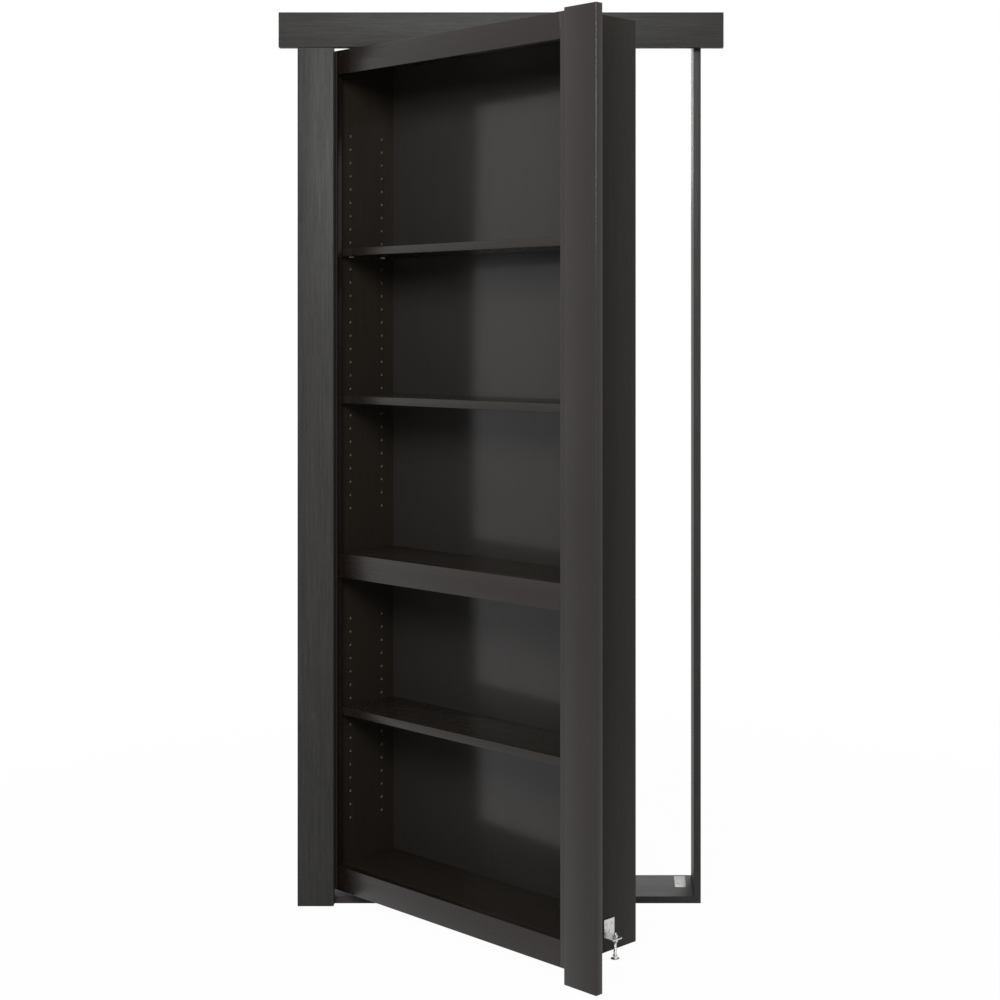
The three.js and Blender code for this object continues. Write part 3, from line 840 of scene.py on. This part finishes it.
screw_points = [(0, 0, screw_crown - recess_depth)]
for ring in range(1, screw_rings + 1):
    radius = screw_radius * ring / screw_rings
    for k in range(screw_sides):
        angle = 2 * math.pi * k / screw_sides
        x = radius * math.cos(angle)
        y = radius * math.sin(angle)
        in_cross = min(abs(x), abs(y)) < recess_width / 2 and radius < screw_radius * recess_reach_share
        crown = screw_crown * (1 - (radius / screw_radius) ** 2)
        screw_points.append((x, y, crown - (recess_depth if in_cross else 0)))
for height in (-screw_head_height, screw_shank_radius - screw_length):
    for k in range(screw_sides):
        angle = 2 * math.pi * k / screw_sides
        screw_points.append((screw_shank_radius * math.cos(angle), screw_shank_radius * math.sin(angle), height))
screw_tip = len(screw_points)
screw_points.append((0, 0, -screw_length))
screw_faces = []
for k in range(screw_sides):
    after = (k + 1) % screw_sides
    screw_faces.append((0, 1 + k, 1 + after))
    for ring in range(screw_rings + 1):
        inner_start = 1 + ring * screw_sides
        outer_start = inner_start + screw_sides
        screw_faces.append((inner_start + k, outer_start + k, outer_start + after, inner_start + after))
    screw_faces.append((screw_tip - screw_sides + after, screw_tip - screw_sides + k, screw_tip))
screw_mesh = bpy.data.meshes.new("countersunk_screw")
screw_mesh.from_pydata(screw_points, [], screw_faces)


def screw_places(nodes, axis, facing, spins):
    """Where the named screws stand, each with its head at its outermost face along the axis."""
    places = []
    for node, spin in zip(nodes, spins):
        low, high = drawn_box(node)
        point = (low + high) / 2
        point[axis] = high[axis]
        turn = (Euler(facing).to_matrix() @ Matrix.Rotation(spin, 3, "Z")).to_euler()
        places.append((tuple(point), tuple(turn)))
    return places


def add_screws(name, nodes, places, finish):
    mesh = copies_mesh(name, screw_mesh, places, finish)
    mesh.transform(placing(nodes[0]))
    add_piece(name, mesh, [finish], body_of[nodes[0]], nodes)


bracket_screw_nodes = ["bracket_screw_1", "bracket_screw_2", "bracket_screw_3"]
bracket_screw_places = screw_places(
    bracket_screw_nodes, axis=0, facing=(0, quarter_turn, 0), spins=bracket_screw_spins)
add_screws("bracket_screws", bracket_screw_nodes, bracket_screw_places, zinc)
strike_screw_nodes = ["strike_screw_1", "strike_screw_2"]
strike_screw_places = screw_places(strike_screw_nodes, axis=2, facing=(0, 0, 0), spins=strike_screw_spins)
add_screws("strike_screws", strike_screw_nodes, strike_screw_places, plate_zinc)

# The foot's bracket
# One strip of zinc plated steel, bent to a right angle: the plate is countersunk and screwed to the side of
# the case, and the ear with its rounded corners has a plain hole for the foot's stem.
bend_radius = 0.0025
bend_steps = 8
corner_radius = 0.006
corner_steps = 6
plate_thickness = 0.002
ear_thickness = 0.0025
stem_radius = 0.0035
stem_clearance = 0.0003
stem_hole_sides = 32
bracket_crease = math.radians(30)

bracket_low, bracket_high = drawn_box("foot_bracket")
bracket_half_width = (bracket_high.y - bracket_low.y) / 2
bracket_middle = (bracket_low.y + bracket_high.y) / 2
bend_x = bracket_low.x + bend_radius
bend_z = bracket_low.z + bend_radius
outline = [
    ((bracket_low.x, bracket_high.z), (1, 0), plate_thickness, bracket_half_width),
    ((bracket_low.x, bend_z), (1, 0), plate_thickness, bracket_half_width),
]
for k in range(1, bend_steps):
    angle = quarter_turn * k / bend_steps
    edge = (bend_x - bend_radius * math.cos(angle), bend_z - bend_radius * math.sin(angle))
    inward = (math.cos(angle), math.sin(angle))
    thickness = plate_thickness + (ear_thickness - plate_thickness) * k / bend_steps
    outline.append((edge, inward, thickness, bracket_half_width))
outline.append(((bend_x, bracket_low.z), (0, 1), ear_thickness, bracket_half_width))
for k in range(corner_steps + 1):
    angle = quarter_turn * k / corner_steps
    reach = bracket_high.x - corner_radius + corner_radius * math.sin(angle)
    half_width = bracket_half_width - corner_radius * (1 - math.cos(angle))
    outline.append(((reach, bracket_low.z), (0, 1), ear_thickness, half_width))
bracket_points = []
for (x, z), (dx, dz), thickness, half in outline:
    for side in (-1, 1):
        bracket_points.append((x, bracket_middle + side * half, z))
        bracket_points.append((x + dx * thickness, bracket_middle + side * half, z + dz * thickness))
bracket_faces = []
for k in range(len(outline) - 1):
    a = 4 * k
    b = a + 4
    bracket_faces += [(a, a + 2, b + 2, b), (a + 1, b + 1, b + 3, a + 3)]
    bracket_faces += [(a, b, b + 1, a + 1), (a + 2, a + 3, b + 3, b + 2)]
last = 4 * (len(outline) - 1)
bracket_faces += [(0, 1, 3, 2), (last, last + 2, last + 3, last + 1)]


def screw_cutters(places):
    """Countersunk holes for the screws at these places."""
    cutters = []
    for point, turn in places:
        cutter = lathe_mesh("screw_hole", [
            (0, -screw_length), (screw_shank_radius + screw_clearance, -screw_length),
            (screw_shank_radius + screw_clearance, -screw_head_height), (screw_radius + screw_clearance, 0),
            (screw_radius + screw_clearance, cut_overrun), (0, cut_overrun)], screw_sides)
        cutter.transform(Matrix.Translation(point) @ Euler(turn).to_matrix().to_4x4())
        cutters.append(cutter)
    return cutters


def holed_mesh(mesh, cutters):
    """The mesh with its holes cut through it."""
    blank = workpiece(mesh.name + "_blank", mesh)
    drill = workpiece(mesh.name + "_drill", joined_mesh(mesh.name + "_drill", cutters))
    modifier = blank.modifiers.new("holes", "BOOLEAN")
    modifier.operation = "DIFFERENCE"
    modifier.object = drill
    return settle(blank, [drill])


stem_low, stem_high = drawn_box("foot_stem")
stem_centre = (stem_low + stem_high) / 2
stem_hole = lathe_mesh("stem_hole", [
    (0, -cut_overrun), (stem_radius + stem_clearance, -cut_overrun),
    (stem_radius + stem_clearance, ear_thickness + cut_overrun), (0, ear_thickness + cut_overrun),
], stem_hole_sides)
stem_hole.transform(Matrix.Translation((stem_centre.x, stem_centre.y, bracket_low.z)))
bracket_mesh = holed_mesh(
    closed_mesh("foot_bracket_bent", bracket_points, bracket_faces),
    [stem_hole, *screw_cutters(bracket_screw_places)])
bracket_mesh.transform(swing)
shade(bracket_mesh, bracket_crease)
add_piece("foot_bracket_bent", bracket_mesh, [zinc], "bookcase", ["foot_bracket"])

# The two nuts
# Zinc plated hexagon nuts with turned corners. They are screwed up against the bracket's ear from above and from
# below, and lock the stem in it.
nut_sector = math.radians(60)
nut_corner_share = 0.96
nut_steps = 60
nut_chamfer_slope = 0.58
nut_crease = math.radians(24)


def add_nut(node):
    low, high = drawn_box(node)
    centre = (low + high) / 2
    # A hexagon reaches its corners along one axis only, so the larger of the two extents gives them
    corner = max(high.x - low.x, high.y - low.y) / 2
    flat = corner * math.cos(nut_sector / 2)
    edge = flat * nut_corner_share
    bore = stem_radius + stem_clearance
    points = []
    for k in range(nut_steps):
        angle = 2 * math.pi * k / nut_steps
        to_flat = (angle + nut_sector / 2) % nut_sector - nut_sector / 2
        reach = flat / math.cos(to_flat)
        drop = (reach - edge) * nut_chamfer_slope
        rings = (
            (edge, high.z), (reach, high.z - drop), (reach, low.z + drop), (edge, low.z), (bore, low.z),
            (bore, high.z))
        for radius, height in rings:
            points.append((centre.x + radius * math.cos(angle), centre.y + radius * math.sin(angle), height))
    faces = []
    for k in range(nut_steps):
        a = len(rings) * k
        b = len(rings) * ((k + 1) % nut_steps)
        for ring in range(len(rings)):
            after = (ring + 1) % len(rings)
            faces.append((a + after, a + ring, b + ring, b + after))
    mesh = closed_mesh(node + "_turned", points, faces)
    mesh.transform(placing(node))
    shade(mesh, nut_crease)
    add_piece(node + "_turned", mesh, [zinc], body_of[node], [node])


add_nut("lower_foot_nut")
add_nut("upper_foot_nut")

# The foot's stem and pad
# A zinc plated steel rod is cut with a full thread and runs through both nuts. Its lower end turns in the socket
# of a round turned pad, which comes down on the strike plate when the bookcase is shut.
thread_pitch = 0.00125
thread_depth = 0.0007
thread_sides = 24
thread_rows_per_turn = 6
thread_crease = math.radians(50)

stem_rows = round((stem_high.z - stem_low.z) / thread_pitch * thread_rows_per_turn)
stem_points = []
for row in range(stem_rows + 1):
    height = stem_low.z + (stem_high.z - stem_low.z) * row / stem_rows
    for k in range(thread_sides):
        around = k / thread_sides
        phase = ((height - stem_low.z) / thread_pitch - around) % 1
        radius = stem_radius - thread_depth * abs(2 * phase - 1)
        angle = 2 * math.pi * around
        stem_points.append((
            stem_centre.x + radius * math.cos(angle), stem_centre.y + radius * math.sin(angle), height))
stem_faces = []
for row in range(stem_rows):
    for k in range(thread_sides):
        after = (k + 1) % thread_sides
        a = row * thread_sides
        b = a + thread_sides
        stem_faces.append((a + k, a + after, b + after, b + k))
stem_faces.append(tuple(reversed(range(thread_sides))))
stem_faces.append(tuple(stem_rows * thread_sides + k for k in range(thread_sides)))
stem_mesh = bpy.data.meshes.new("foot_stem_threaded")
stem_mesh.from_pydata(stem_points, [], stem_faces)
stem_mesh.transform(swing)
shade(stem_mesh, thread_crease)
add_piece("foot_stem_threaded", stem_mesh, [zinc], "levelling_foot", ["foot_stem"])

pad_edge = 0.0006
pad_rim_height = 0.0016
pad_crown_height = 0.0024
pad_crown_power = 1.5
pad_neck = 0.0052
pad_steps = 8
pad_sides = 48

pad_low, pad_high = drawn_box("foot_pad")
pad_centre = (pad_low + pad_high) / 2
pad_radius = (pad_high.x - pad_low.x) / 2
pad_profile = [
    (0, pad_low.z), (pad_radius - pad_edge, pad_low.z), (pad_radius, pad_low.z + pad_edge),
    (pad_radius, pad_low.z + 2 * pad_edge),
]
for k in range(pad_steps + 1):
    share = k / pad_steps
    pad_profile.append((
        pad_neck + (pad_radius - pad_edge - pad_neck) * (1 - share) ** 2,
        pad_low.z + pad_rim_height + pad_crown_height * share ** pad_crown_power))
pad_profile += [
    (pad_neck, pad_high.z - pad_edge), (pad_neck - pad_edge, pad_high.z), (stem_radius, pad_high.z),
    (0, pad_high.z),
]
pad_mesh = lathe_mesh("foot_pad_turned", pad_profile, pad_sides)
pad_mesh.transform(swing @ Matrix.Translation((pad_centre.x, pad_centre.y, 0)))
shade(pad_mesh, metal_crease)
add_piece("foot_pad_turned", pad_mesh, [zinc], "levelling_foot", ["foot_pad"])

# The strike plate
# A flat steel plate with dull zinc lies on the sill and takes the foot's pressure. Its corners are rounded, its
# upper edge is eased, and two countersunk holes take the screws that hold it.
strike_corner = 0.003
strike_corner_steps = 5
strike_ease = 0.0003
strike_ease_segments = 2

strike_low, strike_high = drawn_box("strike_plate")
strike_shape = bmesh.new()
strike_ring = []
for corner, (sx, sy) in enumerate(((1, 1), (-1, 1), (-1, -1), (1, -1))):
    cx = (strike_high.x if sx > 0 else strike_low.x) - sx * strike_corner
    cy = (strike_high.y if sy > 0 else strike_low.y) - sy * strike_corner
    for k in range(strike_corner_steps + 1):
        angle = quarter_turn * (corner + k / strike_corner_steps)
        strike_ring.append(strike_shape.verts.new(
            (cx + strike_corner * math.cos(angle), cy + strike_corner * math.sin(angle), strike_low.z)))
strike_face = strike_shape.faces.new(strike_ring)
strike_raised = bmesh.ops.extrude_face_region(strike_shape, geom=[strike_face])["geom"]
strike_top = [item for item in strike_raised if isinstance(item, bmesh.types.BMVert)]
bmesh.ops.translate(strike_shape, vec=(0, 0, strike_high.z - strike_low.z), verts=strike_top)
bmesh.ops.recalc_face_normals(strike_shape, faces=strike_shape.faces)
top_edges = [
    edge for edge in strike_shape.edges if all(end.co.z > strike_low.z + strike_ease for end in edge.verts)]
bmesh.ops.bevel(
    strike_shape, geom=top_edges, offset=strike_ease, segments=strike_ease_segments, profile=round_profile,
    affect="EDGES")
strike_mesh = bpy.data.meshes.new("strike_plate_pressed")
strike_shape.to_mesh(strike_mesh)
strike_shape.free()
strike_mesh = holed_mesh(strike_mesh, screw_cutters(strike_screw_places))
shade(strike_mesh, metal_crease)
add_piece("strike_plate_pressed", strike_mesh, [plate_zinc], "surround", ["strike_plate"])
